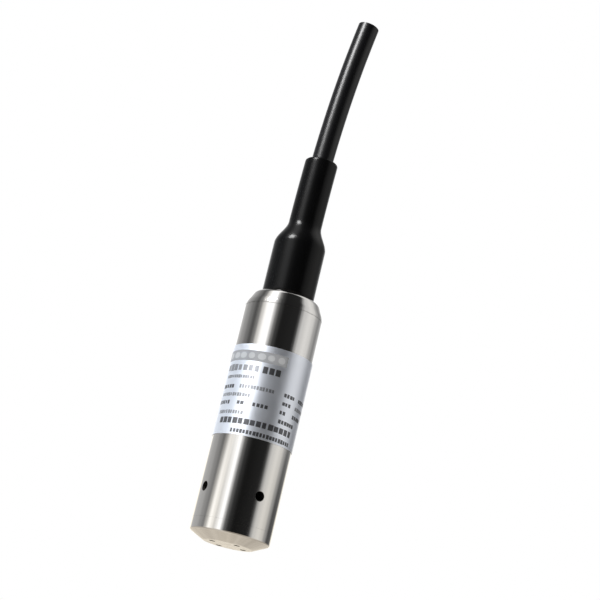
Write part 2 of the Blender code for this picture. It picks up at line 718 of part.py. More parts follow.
def make_gland():
    """Rubber bush between two washers, squeezed round the cable by a hexagon nut."""
    washers = [("lower_thrust_washer", LOWER_WASHER_Z), ("upper_thrust_washer", UPPER_WASHER_Z)]
    for name, low in washers:
        ring(name, GLAND_RADIUS, CABLE_BORE, low, low + WASHER_THICKNESS, "cell_steel")
    ring("cable_seal_bush", GLAND_RADIUS, CABLE_BORE, BUSH_LOW_Z, BUSH_TOP_Z, "seal_rubber")
    nut = rod("gland_nut", NECK_RADIUS, NUT_HEAD_Z, NUT_TOP_Z, (0, 0), "cell_steel", NUT_SIDES)
    stem_top = (NUT_HEAD_Z + NUT_TOP_Z) / 2
    stem = cylinder_cutter(
        "nut_stem",
        GLAND_RADIUS,
        stem_top - NUT_LOW_Z,
        (0, 0, (NUT_LOW_Z + stem_top) / 2),
        sides=INNER_STEPS,
    )
    join_with(nut, stem, "UNION")
    length = NUT_TOP_Z - NUT_LOW_Z + 2 * CUT_OVERRUN
    middle = (0, 0, (NUT_LOW_Z + NUT_TOP_Z) / 2)
    bore = cylinder_cutter("nut_bore", CABLE_BORE, length, middle, sides=INNER_STEPS)
    join_with(nut, bore, "DIFFERENCE")


def make_potting():
    low = CAP_SPIGOT_LOW_Z + SEAT_GAP
    high = CAP_POCKET_TOP_Z - SEAT_GAP
    ring("potting_plug", CAP_POCKET_RADIUS - BORE_GAP, CABLE_BORE, low, high, "potting_resin")


def hollow_cable_tube(name, low, outer, inner, resolution, finish):
    """A tube that follows the cable, open at both ends."""
    line = cable_line(low)
    shell = adopt(tube_along(name, line, outer, resolution), name, finish)
    foot = (line[0][0], 0.0, line[0][2] - CUT_OVERRUN)
    run = (line[-1][0] - line[-2][0], line[-1][2] - line[-2][2])
    reach = CUT_OVERRUN / math.hypot(*run)
    head = (line[-1][0] + run[0] * reach, 0.0, line[-1][2] + run[1] * reach)
    core = tube_along(f"{name}_core", [foot] + line + [head], inner, resolution)
    join_with(shell, as_cutter(core, f"{name}_core"), "DIFFERENCE")


def make_cable():
    """Jacket, braid and vent tube, one inside the other, with the conductors between the last two."""
    hollow_cable_tube(
        "cable_jacket", JACKET_LOW_Z, CABLE_RADIUS, JACKET_BORE, CABLE_SIDES_RESOLUTION, "cable_jacket"
    )
    hollow_cable_tube(
        "cable_shield",
        JACKET_LOW_Z - SHIELD_TAIL,
        SHIELD_RADIUS,
        SHIELD_BORE,
        CABLE_SIDES_RESOLUTION,
        "braid",
    )
    hollow_cable_tube(
        "cable_vent_tube",
        JACKET_LOW_Z - VENT_TUBE_TAIL,
        VENT_TUBE_RADIUS,
        VENT_TUBE_BORE,
        CORE_SIDES_RESOLUTION,
        "vent_tube",
    )
    for i, (side, depth, _) in enumerate(around(CONDUCTOR_COUNT, CONDUCTOR_CIRCLE, math.pi / 4)):
        name = f"conductor_{i + 1}"
        line = cable_line(CONDUCTOR_LOW_Z, side, depth)
        core = tube_along(name, line, CONDUCTOR_RADIUS, CORE_SIDES_RESOLUTION)
        adopt(core, name, "lead_wire")


def make_boot():
    """The heat-shrink boot: a bulb over the gland, a drawn-in neck and a tube that hugs the cable."""
    outer = []
    inner = []
    for i in range(BOOT_NECK_POINTS + 1):
        share = i / BOOT_NECK_POINTS
        ease = share * share * (3 - 2 * share)
        height = BOOT_BULB_TOP_Z + BOOT_NECK_LENGTH * share
        outer.append((BOOT_RADIUS + (BOOT_TUBE_RADIUS - BOOT_RADIUS) * ease, height))
        inner.append((BOOT_BORE + (CABLE_BORE - BOOT_BORE) * ease, height - BOOT_WALL / 2))
    lip = BOOT_TUBE_WALL / 2
    lip_centre = (CABLE_BORE + lip, BOOT_TOP_Z - lip)
    profile = arc(lip_centre, lip, math.pi, 0, 2 * BOOT_LIP_POINTS)
    profile += list(reversed(outer))
    profile += [(BOOT_RADIUS, BOOT_LOW_Z), (BOOT_BORE, BOOT_LOW_Z)]
    profile += inner
    profile += [(CABLE_BORE, (BOOT_NECK_TOP_Z + BOOT_TOP_Z) / 2)]
    boot = settle(turned("shrink_boot", profile, "shrink_sleeve", BOOT_STEPS))
    for vertex in boot.data.vertices:
        vertex.co.x += lean_at(vertex.co.z)
    adopt(boot, "shrink_boot", "shrink_sleeve")


def make_label():
    """A thin foil wrapped round the tube, with a bare strip left behind."""
    radius = BODY_RADIUS + LABEL_GAP
    mesh = bpy.data.meshes.new("label")
    low = (radius, 0.0, LABEL_LOW)
    high = (radius, 0.0, LABEL_LOW + LABEL_HEIGHT)
    mesh.from_pydata([high, low], [(0, 1)], [])
    label = bpy.data.objects.new("label", mesh)
    adopt(label, "label", "foil_label")
    label.rotation_euler = (0, 0, LABEL_START)
    screw = label.modifiers.new("wrap", "SCREW")
    screw.axis = "Z"
    screw.angle = 2 * math.pi * LABEL_STEPS / BODY_STEPS
    screw.steps = LABEL_STEPS
    screw.render_steps = LABEL_STEPS
    screw.use_merge_vertices = False
    foil = label.modifiers.new("thickness", "SOLIDIFY")
    foil.thickness = LABEL_THICKNESS
    foil.offset = 1.0
    foil.use_even_offset = True


def main():
    make_nose_cap()
    make_housing_tube()
    make_pressure_cell()
    make_diaphragm()
    make_lock_ring()
    make_header()
    make_cell_leads()
    make_board()
    make_end_cap()
    make_cap_seals()
    make_gland()
    make_potting()
    make_cable()
    make_boot()
    make_label()


clear_scene()
PARTS = new_collection(OBJECT_NAME)
CUTTERS = new_collection("cutters")
main()
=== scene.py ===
import json
import math
import random

import bpy
from mathutils import Matrix, Vector, noise


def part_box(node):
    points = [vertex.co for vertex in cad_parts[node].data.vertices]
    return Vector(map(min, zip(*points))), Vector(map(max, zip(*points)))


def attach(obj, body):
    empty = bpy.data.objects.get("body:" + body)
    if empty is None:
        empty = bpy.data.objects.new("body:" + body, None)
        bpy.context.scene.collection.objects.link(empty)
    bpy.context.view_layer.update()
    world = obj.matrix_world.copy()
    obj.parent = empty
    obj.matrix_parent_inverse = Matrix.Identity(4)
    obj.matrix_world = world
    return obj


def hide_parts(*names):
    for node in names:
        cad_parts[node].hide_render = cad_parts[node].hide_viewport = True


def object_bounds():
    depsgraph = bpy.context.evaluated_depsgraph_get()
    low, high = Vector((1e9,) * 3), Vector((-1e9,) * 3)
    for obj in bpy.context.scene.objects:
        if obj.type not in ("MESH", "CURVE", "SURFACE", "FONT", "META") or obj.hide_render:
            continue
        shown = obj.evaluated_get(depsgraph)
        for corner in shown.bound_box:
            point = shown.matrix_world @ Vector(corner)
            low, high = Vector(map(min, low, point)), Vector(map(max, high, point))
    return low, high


# Looks of the submersible level transmitter: a polished steel probe with a coned, drilled nose, a foil
# label, a glossy heat-shrink boot and a stub of vented cable. Metres, +Z up along the probe, nose at the
# origin.

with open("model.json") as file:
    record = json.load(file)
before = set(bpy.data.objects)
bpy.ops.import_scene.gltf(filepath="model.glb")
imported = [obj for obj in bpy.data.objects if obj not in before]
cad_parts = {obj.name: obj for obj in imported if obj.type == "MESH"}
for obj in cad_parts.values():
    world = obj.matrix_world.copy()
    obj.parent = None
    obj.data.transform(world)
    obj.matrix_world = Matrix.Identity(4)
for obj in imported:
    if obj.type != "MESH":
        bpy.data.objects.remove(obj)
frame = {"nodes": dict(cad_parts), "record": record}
CAD_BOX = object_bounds()
NODES = frame["nodes"]

# The photograph's view: from in front and below, rolled so that the probe leans to the right
SENSOR_WIDTH = 36.0
LENS = 96.1
VIEW_DISTANCE = 0.5283
VIEW_RISE = math.radians(15.8)
VIEW_ROLL = math.radians(13.47)
VIEW_TARGET = Vector((0.00418, 0.0, 0.08385))

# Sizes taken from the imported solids
NOSE_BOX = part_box("nose_cap")
TUBE_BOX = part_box("housing_tube")
CAP_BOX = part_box("end_cap")
BOOT_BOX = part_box("shrink_boot")
LABEL_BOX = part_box("label")
NUT_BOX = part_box("gland_nut")
JACKET_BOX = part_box("cable_jacket")
BODY_RADIUS = NOSE_BOX[1].x
TUBE_LOW_Z = TUBE_BOX[0].z
TUBE_TOP_Z = TUBE_BOX[1].z
NUT_TOP_Z = NUT_BOX[1].z
BOOT_LOW_Z = BOOT_BOX[0].z
BOOT_TOP_Z = BOOT_BOX[1].z
LABEL_LOW = LABEL_BOX[0].z
LABEL_TOP = LABEL_BOX[1].z

# Forms of the solids that their boxes don't tell
NOSE_FLAT_RADIUS = 0.0080
NOSE_CONE_HEIGHT = 0.0025
NOSE_FLOOR = 0.0030
NOSE_POCKET_RADIUS = 0.0084
SPIGOT_RADIUS = 0.0108
FACE_HOLE_COUNT = 4
FACE_HOLE_RADIUS = 0.0010
FACE_HOLE_CIRCLE = 0.0058
PORT_COUNT = 4
PORT_RADIUS = 0.0016
PORT_Z = 0.0158
HOLE_TURN = math.radians(29)
TUBE_BORE = 0.0110
LEDGE_BORE = 0.00805
LEDGE_LOW_Z = 0.0195
LEDGE_TOP_Z = 0.0215
CELL_BORE = 0.0097
LOCK_BORE = 0.01045
CELL_TOP_Z = 0.0327
BAY_LOW_Z = 0.0369
CAP_SHOULDER_RADIUS = 0.0109
CAP_BEND_Z = 0.0785
CAP_BEND = 0.0050
CAP_TOP_Z = 0.0829
CAP_ROUND = 0.0020
CAP_GROOVE_RADIUS = 0.0093
CAP_GROOVE_WIDTH = 0.0017
CAP_GROOVE_LOWS = (0.0745, 0.0712)
CAP_POCKET_RADIUS = 0.0083
CAP_POCKET_TOP_Z = 0.0752
NECK_RADIUS = 0.0072
GLAND_BORE = 0.0060
GLAND_FLOOR_Z = 0.0839
CABLE_RADIUS = 0.00365
CABLE_BORE = 0.00395
JACKET_BORE = 0.0027
SHIELD_RADIUS = 0.0025
SHIELD_BORE = 0.0023
VENT_TUBE_RADIUS = 0.00085
VENT_TUBE_BORE = 0.0005
CONDUCTOR_CIRCLE = 0.00155
CONDUCTOR_RADIUS = 0.00055
CONDUCTOR_COUNT = 4
COPPER_RADIUS = 0.00024
BOOT_RADIUS = 0.0087
BOOT_BORE = 0.0076
BOOT_TUBE_RADIUS = 0.0056
BOOT_BULB_TOP_Z = 0.1011
BOOT_NECK_TOP_Z = 0.1093
BOOT_WALL = 0.0011
LABEL_START = math.radians(75)
LABEL_WRAP = math.radians(330)
LABEL_INNER = 0.01306
LABEL_OUTER = 0.01314
LABEL_CORNER = 0.0015

# Centreline of the cable: sideways (X), and up from the gland nut's top
CABLE_ROUTE = [
    (0.00000, -0.0285),
    (0.00000, -0.0145),
    (0.00000, 0.0000),
    (0.00012, 0.0150),
    (0.00050, 0.0304),
    (0.00092, 0.0400),
    (0.00156, 0.0500),
    (0.00239, 0.0600),
    (0.00342, 0.0700),
    (0.00460, 0.0795),
    (0.00535, 0.0850),
]
CABLE_POINTS = 90
CABLE_SIDES = 48
CORE_SIDES = 20

# Fineness of the turned pieces
BODY_STEPS = 192
BOOT_STEPS = 120
HOLE_STEPS = 48
FILLET_POINTS = 6
FILLET_HOLD = 0.00012
SMOOTH_ANGLE = math.radians(32)
BOOT_SMOOTH_ANGLE = math.radians(45)
ON_AXIS = 1e-7

# Fillets, gaps and broken edges of the turned pieces
GROOVE_EDGE = 0.0001
FINE_EDGE = 0.0002
SOFT_EDGE = 0.0003
LEAD_EDGE = 0.0004
NOSE_RIM = 0.0005
NOSE_BEND = 0.0016
SEAM_GAP = 0.00002
JOINT_GAP = 0.000002
PORT_EDGE = 0.00004
FACE_HOLE_EDGE = 0.00006
CUT_OVERRUN = 0.0010

# Which faces are round walls, and which belong to the nose's lower side
WALL_SLOPE = 0.001
WALL_SLACK = 2e-6
WALL_FACING = 0.99
LOWER_SIDE_SLOPE = -0.2
LOWER_SIDE_MARGIN = 0.0002

# Painted light: the grey inks get paler across the probe towards +X, where the lamps light them less, so
# the print looks evenly lit
PAINTED_LIGHT_START_X = -0.0075
PAINTED_LIGHT_END_X = 0.0045


def make_camera():
    """The photograph's view as a camera."""
    forward = Vector((0, math.cos(VIEW_RISE), math.sin(VIEW_RISE)))
    level = Vector((1, 0, 0))
    above = level.cross(forward)
    right = level * math.cos(VIEW_ROLL) + above * math.sin(VIEW_ROLL)
    up = above * math.cos(VIEW_ROLL) - level * math.sin(VIEW_ROLL)
    data = bpy.data.cameras.new("photo_view")
    data.sensor_width = SENSOR_WIDTH
    data.lens = LENS
    made = bpy.data.objects.new("photo_view", data)
    place = Matrix((right, up, -forward)).transposed().to_4x4()
    place.translation = VIEW_TARGET - forward * VIEW_DISTANCE
    made.matrix_world = place
    bpy.context.scene.collection.objects.link(made)
    bpy.context.scene.camera = made


# Shader helpers


class Nodes:
    """Short calls for the nodes of a material or of the world."""

    def __init__(self, tree):
        self.tree = tree

    def node(self, kind, **settings):
        made = self.tree.nodes.new(kind)
        for name, value in settings.items():
            setattr(made, name, value)
        return made

    def feed(self, socket, value):
        """Links an output to an input, or sets the input to a plain value."""
        if isinstance(value, bpy.types.NodeSocket):
            self.tree.links.new(value, socket)
        else:
            socket.default_value = value

    def maths(self, operation, first, second=0.0):
        made = self.node("ShaderNodeMath", operation=operation)
        self.feed(made.inputs[0], first)
        self.feed(made.inputs[1], second)
        return made.outputs[0]

    def axes(self, place):
        """The coordinates X, Y and Z of a place."""
        made = self.node("ShaderNodeSeparateXYZ")
        self.feed(made.inputs[0], place)
        return made.outputs

    def spread(self, value, low, high, start=0.3, end=0.7, **settings):
        """A value between start and end, spread to the range from low to high."""
        made = self.node("ShaderNodeMapRange", **settings)
        self.feed(made.inputs["Value"], value)
        made.inputs["From Min"].default_value = start
        made.inputs["From Max"].default_value = end
        made.inputs["To Min"].default_value = low
        made.inputs["To Max"].default_value = high
        return made.outputs["Result"]

    def blend(self, share, first, second):
        """A colour between two colours."""
        made = self.node("ShaderNodeMix", data_type="RGBA")
        self.feed(made.inputs["Factor"], share)
        for socket, colour in ((made.inputs[6], first), (made.inputs[7], second)):
            self.feed(socket, colour if isinstance(colour, bpy.types.NodeSocket) else (*colour, 1.0))
        return made.outputs[2]

    def either(self, share, first, second):
        """A shader between two shaders."""
        made = self.node("ShaderNodeMixShader")
        for socket, value in zip(made.inputs, (share, first, second)):
            self.feed(socket, value)
        return made.outputs[0]


class Shader(Nodes):
    """A material with one Principled shader."""

    def __init__(self, name, colour, roughness, metallic=0.0, **sockets):
        self.material = bpy.data.materials.new(name)
        self.material.use_nodes = True
        super().__init__(self.material.node_tree)
        self.shader = self.tree.nodes["Principled BSDF"]
        self.set("Base Color", (*colour, 1.0))
        self.set("Roughness", roughness)
        self.set("Metallic", metallic)
        for socket, value in sockets.items():
            self.set(socket.replace("_", " "), value)
        self.place = self.node("ShaderNodeTexCoord").outputs["Object"]

    def set(self, socket, value):
        self.shader.inputs[socket].default_value = value

    def stretched(self, scale):
        """Object coordinates, stretched along the axes."""
        made = self.node("ShaderNodeMapping")
        self.feed(made.inputs["Vector"], self.place)
        made.inputs["Scale"].default_value = scale
        return made.outputs["Vector"]

    def noise_over(self, place, scale, detail, socket="Vector", **settings):
        """A noise texture over coordinates, or over the number that feeds its socket W."""
        made = self.node("ShaderNodeTexNoise", **settings)
        self.feed(made.inputs[socket], place)
        made.inputs["Scale"].default_value = scale
        made.inputs["Detail"].default_value = detail
        return made.outputs["Fac"]

    def grain(self, scale, detail=3.0, stretch=(1, 1, 1)):
        """Noise with about `scale` bumps to the metre."""
        return self.noise_over(self.stretched(stretch), scale, detail)

    def rings(self, per_metre):
        """Noise in rings round the probe's axis, as a lathe leaves on a face."""
        squares = [self.maths("POWER", axis, 2.0) for axis in self.axes(self.place)[:2]]
        radius = self.maths("SQRT", self.maths("ADD", *squares))
        return self.noise_over(radius, per_metre, 2.0, "W", noise_dimensions="1D")

    def streaks(self, scale):
        """Noise by the direction from the probe's axis, the same at every radius, for painted reflection
        streaks.
        """
        outward = self.node("ShaderNodeVectorMath", operation="NORMALIZE")
        self.feed(outward.inputs[0], self.stretched((1, 1, 0)))
        return self.noise_over(outward.outputs["Vector"], scale, 2.0)

    def colour(self, share, first, second):
        self.feed(self.shader.inputs["Base Color"], self.blend(share, first, second))

    def roughness(self, value, low, high):
        self.feed(self.shader.inputs["Roughness"], self.spread(value, low, high))

    def bump(self, *layers):
        """Bumps in the surface, from (height, depth in metres) layers."""
        below = None
        for height, depth in layers:
            made = self.node("ShaderNodeBump")
            made.inputs["Strength"].default_value = 1.0
            made.inputs["Distance"].default_value = depth
            self.feed(made.inputs["Height"], height)
            if below:
                self.feed(made.inputs["Normal"], below)
            below = made.outputs["Normal"]
        self.feed(self.shader.inputs["Normal"], below)


# Finishes


def polished_steel():
    """Smooth, smudged steel with very faint turning marks."""
    made = Shader("polished_steel", (0.70, 0.69, 0.675), 0.09, 1.0)
    smudges = made.grain(55, 4.0, (1, 1, 0.4))
    made.roughness(smudges, 0.07, 0.13)
    made.colour(made.grain(30, 2.0), (0.69, 0.68, 0.665), (0.72, 0.71, 0.695))
    turning = made.grain(22, 3.0, (0.3, 0.3, 260))
    made.bump((made.grain(120, 2.0, (1, 1, 0.25)), 0.000006), (turning, 0.00000025))
    return made.material


def turned_face():
    """The nose's lower face, with the fine rings that facing on a lathe leaves, and soft radial streaks of
    painted reflection in its colour.
    """
    made = Shader("turned_face", (0.70, 0.69, 0.67), 0.22, 1.0)
    made.roughness(made.grain(260, 3.0), 0.18, 0.27)
    # Painted reflection: the colour swings between dark and bright in radial streaks, as the turned face
    # would mirror the studio
    made.colour(made.streaks(2.6), (0.42, 0.405, 0.39), (0.86, 0.85, 0.835))
    made.bump((made.rings(5200), 0.0000022), (made.grain(300, 3.0), 0.000002))
    return made.material


def inner_steel(name, colour, roughness):
    """Turned metal inside the probe."""
    made = Shader(name, colour, roughness, 1.0)
    made.roughness(made.grain(180, 3.0), roughness * 0.8, roughness * 1.25)
    made.bump((made.grain(30, 3.0, (1, 1, 180)), 0.000003))
    return made.material


def dull_and_shaded_bore():
    """The insides of bores and drilled holes: rough from the drill, with a near-black base colour that is
    painted shade.
    """
    made = Shader("dull_and_shaded_bore", (0.07, 0.065, 0.06), 0.6, 1.0)
    made.roughness(made.grain(400, 3.0), 0.5, 0.7)
    made.bump((made.grain(60, 3.0, (1, 1, 60)), 0.00001))
    return made.material


def gold_plate():
    made = Shader("gold_plate", (0.83, 0.62, 0.26), 0.25, 1.0)
    made.roughness(made.grain(900, 2.0), 0.2, 0.32)
    return made.material


def soft_plain(name, colour, darker, roughness, grain=900, depth=0.00001):
    """Moulded rubber or plastic: a slightly uneven colour and a fine skin."""
    made = Shader(name, colour, roughness)
    skin = made.grain(grain, 4.0)
    made.colour(made.grain(grain / 6, 3.0), darker, colour)
    made.roughness(skin, roughness * 0.85, roughness * 1.15)
    made.bump((skin, depth))
    return made.material


def sealing_glass():
    made = Shader("sealing_glass", (0.10, 0.22, 0.20), 0.12, Coat_Weight=0.5)
    made.colour(made.grain(1400, 2.0), (0.07, 0.17, 0.16), (0.13, 0.27, 0.24))
    return made.material


def green_board():
    """Solder mask over copper tracks."""
    made = Shader("green_board", (0.03, 0.22, 0.09), 0.4, Coat_Weight=0.4)
    tracks = made.node("ShaderNodeTexBrick", offset=0.5)
    made.feed(tracks.inputs["Vector"], made.place)
    tracks.inputs["Scale"].default_value = 420.0
    tracks.inputs["Mortar Size"].default_value = 0.06
    made.colour(tracks.outputs["Fac"], (0.02, 0.17, 0.07), (0.10, 0.34, 0.13))
    made.bump((tracks.outputs["Fac"], 0.00002))
    return made.material


def shrink_sleeve():
    """Glossy heat-shrink with faint lengthwise draw marks."""
    made = Shader("shrink_sleeve", (0.002, 0.002, 0.0021), 0.22, Specular_IOR_Level=0.14)
    made.roughness(made.grain(60, 2.0, (1, 1, 0.35)), 0.20, 0.25)
    made.colour(made.grain(90, 3.0), (0.0015, 0.0015, 0.0016), (0.0028, 0.0028, 0.0029))
    draw = made.grain(420, 3.0, (1, 1, 0.08))
    made.bump((made.grain(110, 2.0, (1, 1, 0.4)), 0.00001), (draw, 0.0000008))
    return made.material


def cable_jacket():
    """Satin black rubber."""
    made = Shader("cable_jacket", (0.003, 0.003, 0.0035), 0.30, Specular_IOR_Level=0.30)
    made.roughness(made.grain(60, 2.0, (1, 1, 0.3)), 0.28, 0.33)
    made.colour(made.grain(120, 3.0), (0.002, 0.002, 0.0025), (0.004, 0.004, 0.0045))
    return made.material


def braid():
    """Woven bare wires."""
    made = Shader("braid", (0.55, 0.55, 0.55), 0.35, 1.0)
    weave = made.node("ShaderNodeTexWave", wave_type="BANDS", bands_direction="DIAGONAL")
    made.feed(weave.inputs["Vector"], made.place)
    weave.inputs["Scale"].default_value = 900.0
    made.colour(weave.outputs["Fac"], (0.35, 0.35, 0.35), (0.62, 0.62, 0.62))
    made.bump((weave.outputs["Fac"], 0.00004))
    return made.material


def foil_label():
    """Silvered film with a satin face."""
    made = Shader("foil_label", (0.80, 0.84, 0.92), 0.34, 0.86)
    made.roughness(made.grain(240, 3.0), 0.32, 0.37)
    made.colour(made.grain(60, 2.0), (0.79, 0.83, 0.91), (0.81, 0.85, 0.93))
    made.bump((made.grain(260, 2.0), 0.000004))
    return made.material


def clear_ink(name, colour, worn):
    """Thin ink that lets the foil shine through."""
    made = Shader(name, colour, 0.36, 0.86)
    made.colour(made.grain(1500, 3.0), colour, worn)
    return made.material


def solid_ink(name, colour, paler):
    """Thick ink that covers the foil, with painted light: paler towards +X, where the lamps light it less.
    """
    made = Shader(name, colour, 0.4)
    across = made.axes(made.place)[0]
    # Painted light: the colour gets paler towards +X to make up for weaker lamp light there
    made.colour(made.spread(across, 0.0, 1.0, PAINTED_LIGHT_START_X, PAINTED_LIGHT_END_X), colour, paler)
    made.roughness(made.grain(900, 3.0), 0.36, 0.44)
    return made.material


# Mesh helpers


def filleted(corners):
    """The outline through (radius, height, fillet) corners, with a holding point beside each fillet."""
    made = []
    for i, (radius, height, fillet) in enumerate(corners):
        here = Vector((radius, height))
        if not fillet:
            made.append(here)
            continue
        before = Vector(corners[i - 1][:2])
        after = Vector(corners[(i + 1) % len(corners)][:2])
        back = (before - here).normalized()
        ahead = (after - here).normalized()
        half = back.angle(ahead) / 2
        reach = fillet / math.tan(half)
        centre = here + (back + ahead).normalized() * fillet / math.sin(half)
        start = here + back * reach
        end = here + ahead * reach
        first = math.atan2(*(start - centre).yx)
        turn = (math.atan2(*(end - centre).yx) - first + math.pi) % (2 * math.pi) - math.pi
        if (before - start).length > 2 * FILLET_HOLD:
            made.append(start + back * FILLET_HOLD)
        for step in range(FILLET_POINTS + 1):
            angle = first + turn * step / FILLET_POINTS
            made.append(centre + fillet * Vector((math.cos(angle), math.sin(angle))))
        if (after - end).length > 2 * FILLET_HOLD:
            made.append(end + ahead * FILLET_HOLD)
    return made


def new_mesh(name, verts, faces):
    mesh = bpy.data.meshes.new(name)
    mesh.from_pydata(verts, [], faces)
    mesh.validate()
    obj = bpy.data.objects.new(name, mesh)
    bpy.context.scene.collection.objects.link(obj)
    return obj


def turned(name, outline, steps=BODY_STEPS):
    """A body of revolution. The closed outline of (radius, height) points runs down its outer side."""
    verts = []
    rows = []
    for radius, height in outline:
        first = len(verts)
        if radius < ON_AXIS:
            rows.append([first] * steps)
            verts.append((0.0, 0.0, height))
            continue
        rows.append(list(range(first, first + steps)))
        for step in range(steps):
            angle = 2 * math.pi * step / steps
            verts.append((radius * math.cos(angle), radius * math.sin(angle), height))
    faces = []
    for i, upper in enumerate(rows):
        lower = rows[(i + 1) % len(rows)]
        if upper[0] == upper[1] and lower[0] == lower[1]:
            continue
        for step in range(steps):
            after = (step + 1) % steps
            corners = [upper[step], lower[step], lower[after], upper[after]]
            faces.append(list(dict.fromkeys(corners)))
    return new_mesh(name, verts, faces)


def smooth(obj, angle=SMOOTH_ANGLE):
    """Smooth shading with sharp edges."""
    obj.data.shade_smooth()
    obj.data.set_sharp_from_angle(angle=angle)


def shade(obj):
    """Smooth shading, and true normals on every round wall about the probe's axis."""
    smooth(obj)
    mesh = obj.data
    normals = [Vector(corner.vector) for corner in mesh.corner_normals]
    for face in mesh.polygons:
        if abs(face.normal.z) > WALL_SLOPE:
            continue
        spots = [mesh.vertices[v].co for v in face.vertices]
        radii = [spot.xy.length for spot in spots]
        out = Vector(face.center.xy).normalized().dot(face.normal.xy)
        if max(radii) - min(radii) > WALL_SLACK or abs(out) < WALL_FACING:
            continue
        for loop, spot, radius in zip(face.loop_indices, spots, radii):
            normals[loop] = Vector((spot.x, spot.y, 0)) * math.copysign(1 / radius, out)
    mesh.normals_split_custom_set(normals)


def drill(obj, cutters):
    """Cuts the cutters out of a piece and removes them."""
    for cutter in cutters:
        cut = obj.modifiers.new("cut", "BOOLEAN")
        cut.operation = "DIFFERENCE"
        cut.solver = "EXACT"
        cut.object = cutter
    bpy.context.view_layer.update()
    graph = bpy.context.evaluated_depsgraph_get()
    mesh = bpy.data.meshes.new_from_object(obj.evaluated_get(graph))
    obj.modifiers.clear()
    obj.data = mesh
    for cutter in cutters:
        bpy.data.objects.remove(cutter, do_unlink=True)


def piece(obj, slot, finish, *replaced):
    """Gives a piece its material, puts it in place of its solid and lets it ride; the slot is not used."""
    obj.data.materials.clear()
    obj.data.materials.append(finish)
    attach(obj, "root")
    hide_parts(*replaced)
    return obj


# Cable


def route_point(share):
    """A point of the smooth curve through the cable's route, from 0 at its foot to 1 at its cut end."""
    spans = len(CABLE_ROUTE) - 1
    index = min(int(share * spans), spans - 1)
    part = share * spans - index
    near = [CABLE_ROUTE[max(0, min(spans, index + i))] for i in (-1, 0, 1, 2)]
    point = []
    for axis in (0, 1):
        a, b, c, d = (p[axis] for p in near)
        bend = 2 * a - 5 * b + 4 * c - d
        twist = 3 * b - 3 * c + d - a
        point.append(b + 0.5 * part * (c - a + part * (bend + part * twist)))
    return Vector((point[0], 0.0, NUT_TOP_Z + point[1]))


def cable_path(low):
    """The centreline from a height up to the cut end."""
    points = [route_point(i / CABLE_POINTS) for i in range(CABLE_POINTS + 1)]
    return [Vector((0.0, 0.0, low))] + [p for p in points if p.z > low + CABLE_RADIUS / 2]


def rings_along(path, radius, sides, beside=0.0, behind=0.0):
    """Rings of points round a path in the XZ plane, or round a line beside and behind it."""
    rings = []
    for i, point in enumerate(path):
        run = (path[min(i + 1, len(path) - 1)] - path[max(i - 1, 0)]).normalized()
        across = Vector((run.z, 0, -run.x))
        away = Vector((0, 1, 0))
        centre = point + across * beside + away * behind
        ring = []
        for step in range(sides):
            angle = 2 * math.pi * step / sides
            spot = centre + radius * (math.cos(angle) * across + math.sin(angle) * away)
            spot.z = min(spot.z, CAD_BOX[1].z)
            ring.append(spot)
        rings.append(ring)
    return rings


def skin(name, rings, closed):
    """A surface over rings of points. Closed rings run on into the first one, others get end caps."""
    sides = len(rings[0])
    verts = [point for ring in rings for point in ring]
    faces = []
    for i in range(len(rings) if closed else len(rings) - 1):
        low = i * sides
        high = (i + 1) % len(rings) * sides
        for step in range(sides):
            after = (step + 1) % sides
            faces.append((low + step, low + after, high + after, high + step))
    if not closed:
        last = (len(rings) - 1) * sides
        faces.append(list(range(sides))[::-1])
        faces.append(list(range(last, last + sides)))
    return new_mesh(name, verts, faces)


def hollow_tube(name, path, outer, inner, sides):
    """A pipe along the cable."""
    rings = rings_along(path, outer, sides) + rings_along(path, inner, sides)[::-1]
    obj = skin(name, rings, True)
    smooth(obj)
    return obj


def make_cable(finishes):
    path = cable_path(JACKET_BOX[0].z)
    jacket = hollow_tube("outer_jacket", path, CABLE_RADIUS, JACKET_BORE, CABLE_SIDES)
    piece(jacket, "cable_jacket", finishes["cable_jacket"], "cable_jacket")
    shield_path = cable_path(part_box("cable_shield")[0].z)
    shield = hollow_tube("braided_shield", shield_path, SHIELD_RADIUS, SHIELD_BORE, CABLE_SIDES)
    piece(shield, "braid", finishes["braid"], "cable_shield")
    vent_path = cable_path(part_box("cable_vent_tube")[0].z)
    vent = hollow_tube("vent_pipe", vent_path, VENT_TUBE_RADIUS, VENT_TUBE_BORE, CORE_SIDES)
    piece(vent, "vent_tube", finishes["vent_tube"], "cable_vent_tube")
    with_jacket = [shield, vent] + [make_conductor(i, finishes) for i in range(CONDUCTOR_COUNT)]


def make_conductor(index, finishes):
    """An insulated wire with its copper core showing at the cut end."""
    node = f"conductor_{index + 1}"
    angle = math.pi / 4 + 2 * math.pi * index / CONDUCTOR_COUNT
    beside = CONDUCTOR_CIRCLE * math.cos(angle)
    behind = CONDUCTOR_CIRCLE * math.sin(angle)
    path = cable_path(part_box(node)[0].z)
    rings = rings_along(path, CONDUCTOR_RADIUS, CORE_SIDES, beside, behind)
    rings.append(rings_along(path, COPPER_RADIUS, CORE_SIDES, beside, behind)[-1])
    wire = skin(f"core_wire_{index + 1}", rings, False)
    smooth(wire)
    piece(wire, "lead_wire", finishes[f"wire_{index + 1}"], node)
    wire.data.materials.append(finishes["copper"])
    wire.data.polygons[len(wire.data.polygons) - 1].material_index = 1
    return wire


# Steel body


def hole_cutter(name, radius, inner, surface, edge):
    """A drill along +Z, from inside a wall up to its surface, where it breaks the edge."""
    outline = [
        (0.0, surface + edge),
        (radius + 2 * edge, surface + edge),
        (radius, surface - edge),
        (radius, inner),
        (0.0, inner),
    ]
    return turned(name, outline, HOLE_STEPS)


